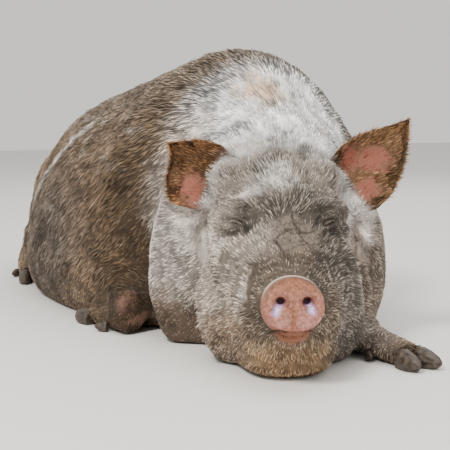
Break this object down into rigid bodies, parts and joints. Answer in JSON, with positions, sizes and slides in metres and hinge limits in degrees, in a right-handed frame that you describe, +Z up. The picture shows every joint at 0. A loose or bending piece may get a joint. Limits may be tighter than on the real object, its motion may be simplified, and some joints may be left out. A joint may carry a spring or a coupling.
{
  "type": "domestic pig, lying",
  "caption": "Full-grown heavy domestic pig lying on its chest with its jowls on the ground, head turned, ears pricked outwards and one foreleg stretched forward.",
  "frame": {"origin": "on the flat under the middle of the belly, 0.25 m behind the highest point of the withers", "axes": "+Z up, -Y towards the head (the animal faces -Y and turns its head about 23 degrees towards its right), +X towards the animal's left side"},
  "size_m": [0.6081, 1.5697, 0.4956],
  "materials": {
    "hide": "hairy hide, grizzled grey-brown, muddied on the flanks and face",
    "snout_skin": "bare moist pink skin",
    "hoof": "dark worn horn",
    "eye": "wet dark brown"
  },
  "bodies": {
    "root": {"head": "hide", "neck": "hide", "torso": "hide", "tail": "hide", "foreleg_left": "hide", "foreleg_right": "hide", "hindleg_left": "hide", "hindleg_right": "hide", "ear_left": "hide", "ear_right": "hide", "snout": "snout_skin", "eye_left": "eye", "eye_right": "eye", "claw_fore_left_inner": "hoof", "claw_fore_left_outer": "hoof", "claw_fore_right_inner": "hoof", "claw_fore_right_outer": "hoof", "claw_hind_left_inner": "hoof", "claw_hind_left_outer": "hoof", "claw_hind_right_inner": "hoof", "claw_hind_right_outer": "hoof", "dewclaw_fore_left_inner": "hoof", "dewclaw_fore_left_outer": "hoof", "dewclaw_fore_right_inner": "hoof", "dewclaw_fore_right_outer": "hoof", "dewclaw_hind_left_inner": "hoof", "dewclaw_hind_left_outer": "hoof", "dewclaw_hind_right_inner": "hoof", "dewclaw_hind_right_outer": "hoof"}
  },
  "joints": []
}
